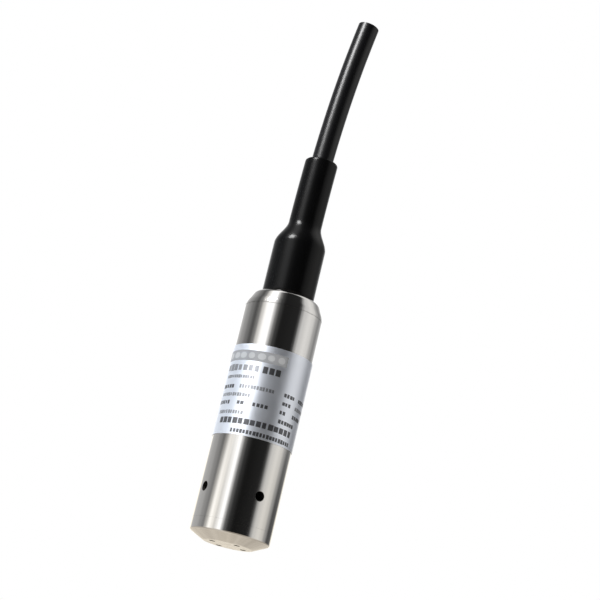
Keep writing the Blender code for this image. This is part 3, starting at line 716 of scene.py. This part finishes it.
def make_nose_cap(finishes):
    seam = TUBE_LOW_Z - SEAM_GAP
    corners = [
        (0.0, NOSE_FLOOR, 0),
        (NOSE_POCKET_RADIUS, NOSE_FLOOR, LEAD_EDGE),
        (NOSE_POCKET_RADIUS, NOSE_BOX[1].z, SOFT_EDGE),
        (SPIGOT_RADIUS, NOSE_BOX[1].z, LEAD_EDGE),
        (SPIGOT_RADIUS, seam, 0),
        (BODY_RADIUS, seam, 0),
        (BODY_RADIUS, NOSE_CONE_HEIGHT, NOSE_RIM),
        (NOSE_FLAT_RADIUS, 0.0, NOSE_BEND),
        (0.0, 0.0, 0),
    ]
    cap = turned("drilled_nose_cap", filleted(corners))
    inner = -NOSE_FLOOR - CUT_OVERRUN
    drills = []
    centres = []
    for i in range(FACE_HOLE_COUNT):
        angle = HOLE_TURN + 2 * math.pi * i / FACE_HOLE_COUNT
        centres.append(FACE_HOLE_CIRCLE * Vector((math.cos(angle), math.sin(angle))))
        hole = hole_cutter(f"face_drill_{i + 1}", FACE_HOLE_RADIUS, inner, 0.0, FACE_HOLE_EDGE)
        hole.rotation_euler = (math.pi, 0, 0)
        hole.location = centres[i].to_3d()
        drills.append(hole)
    drill(cap, drills)
    shade(cap)
    piece(cap, "polished_steel", finishes["polished_steel"], "nose_cap")
    cap.data.materials.append(finishes["turned_face"])
    cap.data.materials.append(finishes["dull_and_shaded_bore"])
    hole_reach = FACE_HOLE_RADIUS + FACE_HOLE_EDGE
    face_top_z = NOSE_CONE_HEIGHT - LOWER_SIDE_MARGIN
    # The lower side gets the turned face; the inner faces get the bore finish, whose dark colour is
    # painted shade
    for face in cap.data.polygons:
        spot = face.center.xy
        in_hole = min((spot - centre).length for centre in centres) < hole_reach
        if face.normal.z < LOWER_SIDE_SLOPE and face.center.z < face_top_z and not in_hole:
            face.material_index = 1
        elif spot.length < SPIGOT_RADIUS + SEAM_GAP:
            face.material_index = 2


def make_tube(finishes):
    corners = [
        (BODY_RADIUS, TUBE_TOP_Z, 0),
        (BODY_RADIUS, TUBE_LOW_Z, 0),
        (TUBE_BORE, TUBE_LOW_Z, FINE_EDGE),
        (TUBE_BORE, LEDGE_LOW_Z, 0),
        (LEDGE_BORE, LEDGE_LOW_Z, FINE_EDGE),
        (LEDGE_BORE, LEDGE_TOP_Z, FINE_EDGE),
        (CELL_BORE, LEDGE_TOP_Z, 0),
        (CELL_BORE, CELL_TOP_Z, FINE_EDGE),
        (LOCK_BORE, CELL_TOP_Z, 0),
        (LOCK_BORE, BAY_LOW_Z, FINE_EDGE),
        (TUBE_BORE, BAY_LOW_Z, 0),
        (TUBE_BORE, TUBE_TOP_Z, SOFT_EDGE),
    ]
    tube = turned("steel_tube", filleted(corners))
    inner = TUBE_BORE - CUT_OVERRUN
    drills = []
    for i in range(PORT_COUNT):
        angle = HOLE_TURN + 2 * math.pi * i / PORT_COUNT
        port = hole_cutter(f"port_drill_{i + 1}", PORT_RADIUS, inner, BODY_RADIUS, PORT_EDGE)
        port.rotation_euler = (0, math.pi / 2, angle)
        port.location = (0, 0, PORT_Z)
        drills.append(port)
    drill(tube, drills)
    shade(tube)
    piece(tube, "polished_steel", finishes["polished_steel"], "housing_tube")
    tube.data.materials.append(finishes["dull_and_shaded_bore"])
    # The bores and port walls get the bore finish, whose dark colour is painted shade
    for face in tube.data.polygons:
        if face.center.xy.length < BODY_RADIUS - 2 * PORT_EDGE:
            face.material_index = 1


def make_end_cap(finishes):
    corners = [
        (GLAND_BORE, CAP_BOX[1].z, FINE_EDGE),
        (NECK_RADIUS, CAP_BOX[1].z, SOFT_EDGE),
        (NECK_RADIUS, CAP_TOP_Z, 0),
        (CAP_SHOULDER_RADIUS, CAP_TOP_Z, CAP_ROUND),
        (BODY_RADIUS, CAP_BEND_Z, CAP_BEND),
        (BODY_RADIUS, TUBE_TOP_Z + JOINT_GAP, 0),
        (SPIGOT_RADIUS, TUBE_TOP_Z + JOINT_GAP, 0),
    ]
    for low in CAP_GROOVE_LOWS:
        high = low + CAP_GROOVE_WIDTH
        corners += [
            (SPIGOT_RADIUS, high, GROOVE_EDGE),
            (CAP_GROOVE_RADIUS, high, 0),
            (CAP_GROOVE_RADIUS, low, 0),
            (SPIGOT_RADIUS, low, GROOVE_EDGE),
        ]
    corners += [
        (SPIGOT_RADIUS, CAP_BOX[0].z, LEAD_EDGE),
        (CAP_POCKET_RADIUS, CAP_BOX[0].z, FINE_EDGE),
        (CAP_POCKET_RADIUS, CAP_POCKET_TOP_Z, SOFT_EDGE),
        (CABLE_BORE, CAP_POCKET_TOP_Z, FINE_EDGE),
        (CABLE_BORE, GLAND_FLOOR_Z, FINE_EDGE),
        (GLAND_BORE, GLAND_FLOOR_Z, 0),
    ]
    cap = turned("shouldered_end_cap", filleted(corners))
    shade(cap)
    piece(cap, "polished_steel", finishes["polished_steel"], "end_cap")


# Heat-shrink boot

LIP_POINTS = 12
NECK_POINTS = 20
WALL_POINTS = 24
FOOT_POINTS = 10
FOOT_ROLL = 0.0005
FOOT_RISE = 0.0013
# The ripple moves the wall inwards only, so that the boot stays inside its solid
RIPPLE = 0.00002
RIPPLE_INWARD = 0.6
RIPPLE_SCALE = Vector((160, 160, 70))
RIPPLE_MARGIN = 0.0004


def lean_at(height):
    """How far the cable's centreline lies towards +X at a height."""
    path = cable_path(JACKET_BOX[0].z)
    for a, b in zip(path, path[1:]):
        if a.z <= height <= b.z:
            return a.x + (b.x - a.x) * (height - a.z) / (b.z - a.z)
    return 0.0


def boot_outline():
    """Bulb, drawn-in neck and tube, from the lip down the outside and back up the bore."""
    lip = (BOOT_TUBE_RADIUS - CABLE_BORE) / 2
    outer = []
    inner = []
    for i in range(NECK_POINTS + 1):
        share = i / NECK_POINTS
        ease = share * share * (3 - 2 * share)
        height = BOOT_BULB_TOP_Z + (BOOT_NECK_TOP_Z - BOOT_BULB_TOP_Z) * share
        outer.append((BOOT_RADIUS + (BOOT_TUBE_RADIUS - BOOT_RADIUS) * ease, height))
        inner.append((BOOT_BORE + (CABLE_BORE - BOOT_BORE) * ease, height - BOOT_WALL / 2))
    outline = []
    tube_top = BOOT_TOP_Z - lip
    for i in range(LIP_POINTS + 1):
        angle = math.pi - math.pi * i / LIP_POINTS
        outline.append((CABLE_BORE + lip + lip * math.cos(angle), tube_top + lip * math.sin(angle)))
    for i in range(1, WALL_POINTS):
        outline.append((BOOT_TUBE_RADIUS, tube_top + (BOOT_NECK_TOP_Z - tube_top) * i / WALL_POINTS))
    outline += outer[::-1]
    foot = BOOT_LOW_Z + FOOT_RISE
    for i in range(1, WALL_POINTS):
        outline.append((BOOT_RADIUS, BOOT_BULB_TOP_Z + (foot - BOOT_BULB_TOP_Z) * i / WALL_POINTS))
    for i in range(FOOT_POINTS + 1):
        angle = -math.pi / 2 * i / FOOT_POINTS
        radius = BOOT_RADIUS - FOOT_ROLL + FOOT_ROLL * math.cos(angle)
        outline.append((radius, foot + FOOT_RISE * math.sin(angle)))
    outline.append((BOOT_BORE, BOOT_LOW_Z))
    outline += inner
    outline.append((CABLE_BORE, (BOOT_NECK_TOP_Z + BOOT_TOP_Z) / 2))
    return outline


def make_boot(finishes):
    """The boot, with a faint ripple, leaning with the cable."""
    boot = turned("heat_shrink_boot", boot_outline(), BOOT_STEPS)
    for vertex in boot.data.vertices:
        spot = vertex.co
        radius = spot.xy.length
        if radius > CABLE_BORE + RIPPLE_MARGIN and spot.z > BOOT_LOW_Z + RIPPLE_MARGIN:
            wave = noise.noise(spot * RIPPLE_SCALE)
            spot.xy *= 1 + RIPPLE * (wave - RIPPLE_INWARD) / radius
        spot.x += lean_at(spot.z)
    smooth(boot, BOOT_SMOOTH_ANGLE)
    piece(boot, "shrink_sleeve", finishes["shrink_sleeve"], "shrink_boot")


# Label

CORNER_POINTS = 8
LABEL_COLUMNS = 200


def make_label(finishes):
    """A thin foil with rounded corners, wrapped round the tube."""
    reach = LABEL_CORNER / LABEL_OUTER
    step = (LABEL_WRAP - 2 * reach) / LABEL_COLUMNS
    angles = [reach * (1 - math.cos(math.pi / 2 * i / CORNER_POINTS)) for i in range(CORNER_POINTS)]
    columns = [(a, math.sqrt(LABEL_CORNER**2 - ((reach - a) * LABEL_OUTER) ** 2)) for a in angles]
    columns += [(reach + step * i, LABEL_CORNER) for i in range(LABEL_COLUMNS + 1)]
    columns += [(LABEL_WRAP - a, rise) for a, rise in columns[:CORNER_POINTS][::-1]]
    rings = []
    for angle, rise in columns:
        turn = LABEL_START + angle
        low = LABEL_LOW + LABEL_CORNER - rise
        high = LABEL_TOP - LABEL_CORNER + rise
        ring = [(LABEL_OUTER, low), (LABEL_OUTER, high), (LABEL_INNER, high), (LABEL_INNER, low)]
        rings.append([Vector((r * math.cos(turn), r * math.sin(turn), z)) for r, z in ring])
    label = skin("foil_label", rings, False)
    shade(label)
    piece(label, "foil_label", finishes["foil_label"], "label")


INKS = ("dark_ink", "fine_ink", "grey_ink", "pale_ink")
DARK_INK, FINE_INK, GREY_INK, PALE_INK = range(4)
INK_LOW = LABEL_OUTER + 0.000003
INK_HIGH = LABEL_OUTER + 0.000013
BAR_LIFT = 0.000004
BAR_WIDTHS = (0.62, 0.9)
BAR_HEIGHTS = (0.8, 1.0)
PLATE_COLUMN = math.radians(1.5)
ROUNDED_COLUMNS = 8
ROUNDED_END = 0.35
BANNER_LOW = 0.0574
BANNER_TOP = 0.0609
BANNER_LEFT = math.radians(-84)
BANNER_RIGHT = math.radians(22.5)
# Rows of bars: start and end in degrees from the front, middle height, bar height, bar pitch, ink
PRINT_ROWS = [
    (-80, 21, 0.05915, 0.0022, 0.0034, PALE_INK),
    (-76, -12, 0.0550, 0.0023, 0.0021, FINE_INK),
    (-9, 23, 0.0550, 0.0023, 0.0021, DARK_INK),
    (-72, -17, 0.0520, 0.0011, 0.0009, FINE_INK),
    (-76, -48, 0.0487, 0.0014, 0.0013, DARK_INK),
    (-38, 15, 0.0488, 0.0013, 0.0010, FINE_INK),
    (-74, -18, 0.0460, 0.0012, 0.0010, FINE_INK),
    (-78, -50, 0.0434, 0.0013, 0.0011, DARK_INK),
    (-36, -22, 0.0434, 0.0013, 0.0013, DARK_INK),
    (-12, 11, 0.0434, 0.0014, 0.0013, DARK_INK),
    (-70, -22, 0.0402, 0.0012, 0.0010, FINE_INK),
    (-62, 58, 0.0375, 0.0020, 0.0020, DARK_INK),
    (-36, 62, 0.0343, 0.0014, 0.0011, DARK_INK),
    (29, 50, 0.0489, 0.0013, 0.0012, DARK_INK),
    (58, 84, 0.0489, 0.0013, 0.0012, DARK_INK),
    (29, 43, 0.0461, 0.0013, 0.0012, DARK_INK),
    (54, 84, 0.0461, 0.0012, 0.0012, FINE_INK),
    (28, 41, 0.0432, 0.0013, 0.0012, DARK_INK),
    (52, 80, 0.0432, 0.0013, 0.0012, DARK_INK),
    (29, 62, 0.0403, 0.0013, 0.0012, DARK_INK),
]


def make_print(finishes):
    """Plain bars of ink in rows round the label's front, under a grey band with paler fields."""
    verts = []
    faces = []
    inks = []

    def plate(start, end, low, high, tone, lift=0.0, rounded=False):
        """A thin curved plate between two angles, measured from the front, and two heights."""
        count = ROUNDED_COLUMNS if rounded else max(1, math.ceil((end - start) / PLATE_COLUMN))
        middle = (low + high) / 2
        first = len(verts)
        for i in range(count + 1):
            angle = -math.pi / 2 + start + (end - start) * i / count
            rise = (high - low) / 2
            if rounded:
                rise *= ROUNDED_END + (1 - ROUNDED_END) * (1 - abs(2 * i / count - 1) ** 3)
            for radius, height in (
                (INK_HIGH + lift, middle - rise),
                (INK_HIGH + lift, middle + rise),
                (INK_LOW, middle + rise),
                (INK_LOW, middle - rise),
            ):
                verts.append((radius * math.cos(angle), radius * math.sin(angle), height))
        for i in range(count):
            at = first + 4 * i
            for j in range(4):
                after = (j + 1) % 4
                faces.append((at + j, at + 4 + j, at + 4 + after, at + after))
                inks.append(tone)
        last = first + 4 * count
        faces.append((first, first + 1, first + 2, first + 3))
        faces.append((last + 3, last + 2, last + 1, last))
        inks.extend([tone, tone])

    draws = random.Random(11)
    plate(BANNER_LEFT, BANNER_RIGHT, BANNER_LOW, BANNER_TOP, GREY_INK)
    for start, end, middle, height, pitch, tone in PRINT_ROWS:
        step = pitch / LABEL_OUTER
        count = max(1, round(math.radians(end - start) / step))
        for i in range(count):
            first = math.radians(start) + i * step
            width = step * draws.uniform(*BAR_WIDTHS)
            half = height * draws.uniform(*BAR_HEIGHTS) / 2
            plate(first, first + width, middle - half, middle + half, tone, BAR_LIFT, tone == PALE_INK)
    obj = new_mesh("label_print", verts, faces)
    shade(obj)
    obj.data.materials.clear()
    for ink in INKS:
        obj.data.materials.append(finishes[ink])
    obj.data.polygons.foreach_set("material_index", inks)
    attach(obj, "root")


# Studio

# What the steel mirrors, by azimuth in degrees from the camera's side towards +X: brightness and warmth.
# A white softbox stands on the left, a black flag in front, a pale card on the right and a pale wall
# behind the probe.
STUDIO_LOW = [
    (-180, 0.95, 0.20),
    (-160, 0.85, 0.18),
    (-146, 0.38, 0.01),
    (-118, 0.34, 0.01),
    (-100, 0.24, 0.01),
    (-88, 0.18, 0.01),
    (-80, 0.40, 0.07),
    (-67, 1.00, 0.06),
    (-58, 0.80, 0.08),
    (-52, 0.58, 0.07),
    (-44, 0.76, 0.03),
    (-38, 1.00, 0.00),
    (-33, 1.00, 0.00),
    (-27, 0.40, 0.00),
    (-21, 0.09, 0.00),
    (-10, 0.02, 0.00),
    (4, 0.006, 0.00),
    (44, 0.012, 0.00),
    (51, 0.04, 0.00),
    (57, 0.30, 0.03),
    (65, 0.52, 0.06),
    (82, 0.62, 0.09),
    (97, 0.52, 0.09),
    (110, 0.26, 0.04),
    (126, 0.06, 0.01),
    (146, 0.08, 0.00),
    (162, 0.68, 0.16),
    (180, 0.95, 0.20),
]
STUDIO_HIGH = [
    (-180, 1.00, 0.00),
    (-160, 0.90, 0.00),
    (-146, 0.40, 0.00),
    (-120, 0.26, 0.00),
    (-102, 0.15, 0.00),
    (-86, 0.07, 0.00),
    (-74, 0.16, 0.02),
    (-62, 0.58, 0.05),
    (-52, 0.95, 0.01),
    (-46, 1.00, 0.00),
    (-33, 1.00, 0.00),
    (-27, 0.46, 0.00),
    (-20, 0.15, 0.02),
    (-12, 0.04, 0.00),
    (0, 0.010, 0.00),
    (41, 0.014, 0.00),
    (48, 0.05, 0.00),
    (54, 0.28, 0.01),
    (63, 0.52, 0.02),
    (84, 0.64, 0.03),
    (98, 0.58, 0.03),
    (116, 0.32, 0.01),
    (130, 0.20, 0.00),
    (150, 0.34, 0.00),
    (165, 0.80, 0.00),
    (180, 1.00, 0.00),
]
WHITE = (1.0, 1.0, 1.0, 1.0)
STUDIO_GAIN = 1.5
SOFT_LEVEL = 0.18
# The high cards take over from the low ones between these sines of the rise
CARDS_LOW_RISE = math.sin(math.radians(7.5))
CARDS_HIGH_RISE = math.sin(math.radians(14))
# The cards lean outwards above this rise, so the sloped shoulder mirrors them in line with the wall
LEAN_START = 0.276
LEAN_RATE = 0.95
# The floor that the steel mirrors gets paler towards the horizon, shines a little and meets the cards
FLOOR_TONE = (0.60, 0.53, 0.44)
FLOOR_NEAR_LEVEL = 0.70
FLOOR_NEAR_RISE = math.sin(math.radians(-60))
FLOOR_FAR_RISE = math.sin(math.radians(-4))
FLOOR_SHEEN = 0.35
FLOOR_END_RISE = math.sin(math.radians(-6))
CARDS_FOOT_RISE = math.sin(math.radians(-2.5))
# The floor itself
FLOOR_Z = -0.8
FLOOR_SIZE = 60.0
FLOOR_GLOW = 0.85
LAMP_AIM_Z = 0.09
# Lamps: name, azimuth, rise, distance, size, watts, whether the steel mirrors it, tint
LAMPS = [
    ("key_softbox", -52, 42, 1.0, (0.30, 0.40), 18.0, True, (1.0, 1.0, 1.0)),
    ("left_fill", -88, 8, 1.0, (0.60, 0.80), 23.0, False, (0.84, 0.92, 1.0)),
    ("right_fill", 75, 20, 1.2, (0.90, 0.90), 3.0, False, (1.0, 1.0, 1.0)),
]


def studio_ramp(nodes, stops, place):
    """A ring of studio cards as a colour ramp over the azimuth."""
    ramp = nodes.node("ShaderNodeValToRGB")
    ramp.color_ramp.interpolation = "EASE"
    spots = ramp.color_ramp.elements
    while len(spots) < len(stops):
        spots.new(0.5)
    for spot, stop in zip(spots, stops):
        spot.position = 0.5 + stop[0] / 360
    for spot, (_, level, warmth) in zip(spots, stops):
        spot.color = (level, level * (1 - warmth / 3), level * (1 - warmth), 1.0)
    nodes.feed(ramp.inputs["Fac"], place)
    return ramp.outputs["Color"]


def glow(nodes, kind, colour, strength):
    """A background or an emission shader."""
    made = nodes.node(kind)
    nodes.feed(made.inputs["Color"], colour)
    made.inputs["Strength"].default_value = strength
    return made.outputs[0]


def make_world():
    """White for the camera, a plain soft level for the light, and the studio's cards for mirrors."""
    world = bpy.data.worlds.new("studio")
    bpy.context.scene.world = world
    world.use_nodes = True
    world.node_tree.nodes.clear()
    nodes = Nodes(world.node_tree)
    across, away, rise = nodes.axes(nodes.node("ShaderNodeTexCoord").outputs["Generated"])

    def over_rise(start, end, first, second):
        share = nodes.spread(rise, 0.0, 1.0, start, end, interpolation_type="SMOOTHSTEP")
        return nodes.blend(share, first, second)

    azimuth = nodes.maths("ARCTAN2", across, nodes.maths("MULTIPLY", away, -1.0))
    lift = nodes.maths("MAXIMUM", nodes.maths("SUBTRACT", rise, LEAN_START), 0.0)
    drop = nodes.maths("MULTIPLY", nodes.maths("POWER", lift, 2.0), LEAN_RATE)
    leaning = nodes.maths("MULTIPLY", azimuth, nodes.maths("SUBTRACT", 1.0, drop))
    place = nodes.maths("ADD", nodes.maths("DIVIDE", leaning, 2 * math.pi), 0.5)
    low_cards = studio_ramp(nodes, STUDIO_LOW, place)
    high_cards = studio_ramp(nodes, STUDIO_HIGH, place)
    cards = over_rise(CARDS_LOW_RISE, CARDS_HIGH_RISE, low_cards, high_cards)
    near_tone = tuple(c * FLOOR_NEAR_LEVEL for c in FLOOR_TONE)
    far_tone = tuple(c / STUDIO_GAIN for c in FLOOR_TONE)
    floor = over_rise(FLOOR_NEAR_RISE, FLOOR_FAR_RISE, near_tone, far_tone)
    floor = nodes.blend(FLOOR_SHEEN, floor, cards)
    mirrored = over_rise(FLOOR_END_RISE, CARDS_FOOT_RISE, floor, cards)

    path = nodes.node("ShaderNodeLightPath").outputs
    seen = nodes.maths("MAXIMUM", path["Is Camera Ray"], path["Is Transmission Ray"])
    colours = glow(nodes, "ShaderNodeBackground", mirrored, STUDIO_GAIN)
    soft = glow(nodes, "ShaderNodeBackground", WHITE, SOFT_LEVEL)
    white = glow(nodes, "ShaderNodeBackground", WHITE, 1.0)
    shown = nodes.either(seen, nodes.either(path["Is Glossy Ray"], soft, colours), white)
    nodes.feed(nodes.node("ShaderNodeOutputWorld").inputs["Surface"], shown)


def make_floor():
    """A plain pale floor far below the probe, which hangs over it and is seen from under its nose."""
    half = FLOOR_SIZE / 2
    corners = [(-half, -half), (half, -half), (half, half), (-half, half)]
    floor = new_mesh("studio_floor", [(x, y, FLOOR_Z) for x, y in corners], [(0, 1, 2, 3)])
    made = Shader("pale_floor", (0.90, 0.90, 0.89), 0.7)
    made.colour(made.grain(3, 2.0), (0.89, 0.89, 0.88), (0.91, 0.91, 0.90))
    path = made.node("ShaderNodeLightPath").outputs
    seen = made.maths("MULTIPLY", path["Is Camera Ray"], FLOOR_GLOW)
    white = glow(made, "ShaderNodeEmission", WHITE, 1.0)
    shown = made.either(seen, made.shader.outputs[0], white)
    made.feed(made.tree.nodes["Material Output"].inputs["Surface"], shown)
    floor.data.materials.append(made.material)
    floor.visible_glossy = False


def lamp(name, azimuth, rise, distance, size, power, mirrored, tint):
    """A soft area lamp that looks at the probe's middle, placed by azimuth from the camera's side."""
    aim = Vector((0, 0, LAMP_AIM_Z))
    azimuth = math.radians(azimuth)
    rise = math.radians(rise)
    level = Vector((math.sin(azimuth), -math.cos(azimuth), 0))
    towards = level * math.cos(rise) + Vector((0, 0, math.sin(rise)))
    data = bpy.data.lights.new(name, "AREA")
    data.shape = "RECTANGLE"
    data.size, data.size_y = size
    data.energy = power
    data.color = tint
    made = bpy.data.objects.new(name, data)
    made.location = aim + towards * distance
    made.rotation_euler = (-towards).to_track_quat("-Z", "Y").to_euler()
    made.visible_glossy = mirrored
    made.visible_camera = False
    bpy.context.scene.collection.objects.link(made)


def make_finishes():
    return {
        "polished_steel": polished_steel(),
        "turned_face": turned_face(),
        "dull_and_shaded_bore": dull_and_shaded_bore(),
        "cell_steel": inner_steel("cell_steel", (0.56, 0.56, 0.55), 0.30),
        "thin_steel_foil": inner_steel("thin_steel_foil", (0.66, 0.66, 0.66), 0.22),
        "gold_plate": gold_plate(),
        "seal_rubber": soft_plain("seal_rubber", (0.022, 0.022, 0.022), (0.014, 0.014, 0.014), 0.6),
        "backup_plastic": soft_plain("backup_plastic", (0.85, 0.84, 0.80), (0.78, 0.77, 0.73), 0.45),
        "sealing_glass": sealing_glass(),
        "sleeve_film": soft_plain("sleeve_film", (0.80, 0.66, 0.32), (0.70, 0.56, 0.25), 0.4),
        "green_board": green_board(),
        "chip_plastic": soft_plain("chip_plastic", (0.035, 0.035, 0.04), (0.025, 0.025, 0.028), 0.5, 4000),
        "trimmer_plastic": soft_plain("trimmer_plastic", (0.05, 0.16, 0.45), (0.04, 0.12, 0.36), 0.4),
        "lead_wire": soft_plain("lead_wire", (0.55, 0.06, 0.05), (0.45, 0.04, 0.04), 0.45),
        "potting_resin": soft_plain("potting_resin", (0.05, 0.05, 0.05), (0.03, 0.03, 0.03), 0.35),
        "shrink_sleeve": shrink_sleeve(),
        "cable_jacket": cable_jacket(),
        "braid": braid(),
        "vent_tube": soft_plain("vent_tube", (0.88, 0.88, 0.86), (0.80, 0.80, 0.78), 0.35),
        "wire_1": soft_plain("red_wire", (0.55, 0.05, 0.04), (0.45, 0.04, 0.03), 0.4),
        "wire_2": soft_plain("black_wire", (0.03, 0.03, 0.03), (0.02, 0.02, 0.02), 0.4),
        "wire_3": soft_plain("yellow_wire", (0.70, 0.55, 0.05), (0.60, 0.45, 0.04), 0.4),
        "wire_4": soft_plain("blue_wire", (0.05, 0.13, 0.45), (0.04, 0.10, 0.36), 0.4),
        "copper": inner_steel("copper", (0.85, 0.45, 0.28), 0.3),
        "foil_label": foil_label(),
        "dark_ink": clear_ink("dark_ink", (0.085, 0.087, 0.095), (0.15, 0.153, 0.165)),
        "fine_ink": clear_ink("fine_ink", (0.27, 0.28, 0.30), (0.36, 0.37, 0.40)),
        "grey_ink": solid_ink("grey_ink", (0.12, 0.12, 0.124), (0.32, 0.32, 0.325)),
        "pale_ink": solid_ink("pale_ink", (0.19, 0.19, 0.19), (0.46, 0.46, 0.46)),
    }


def dress_solids(finishes):
    """The solids that stay, all inside the probe, get the finish that their material row names."""
    for row in frame["record"]["subparts"]:
        node = NODES[row["node"]]
        node.data.materials.clear()
        node.data.materials.append(finishes[row["material_slot"]])


def main():
    scene = bpy.context.scene
    scene.view_settings.view_transform = "Standard"
    make_camera()
    finishes = make_finishes()
    dress_solids(finishes)
    make_cable(finishes)
    make_nose_cap(finishes)
    make_tube(finishes)
    make_end_cap(finishes)
    make_boot(finishes)
    make_label(finishes)
    make_print(finishes)
    make_world()
    make_floor()
    for row in LAMPS:
        lamp(*row)


main()
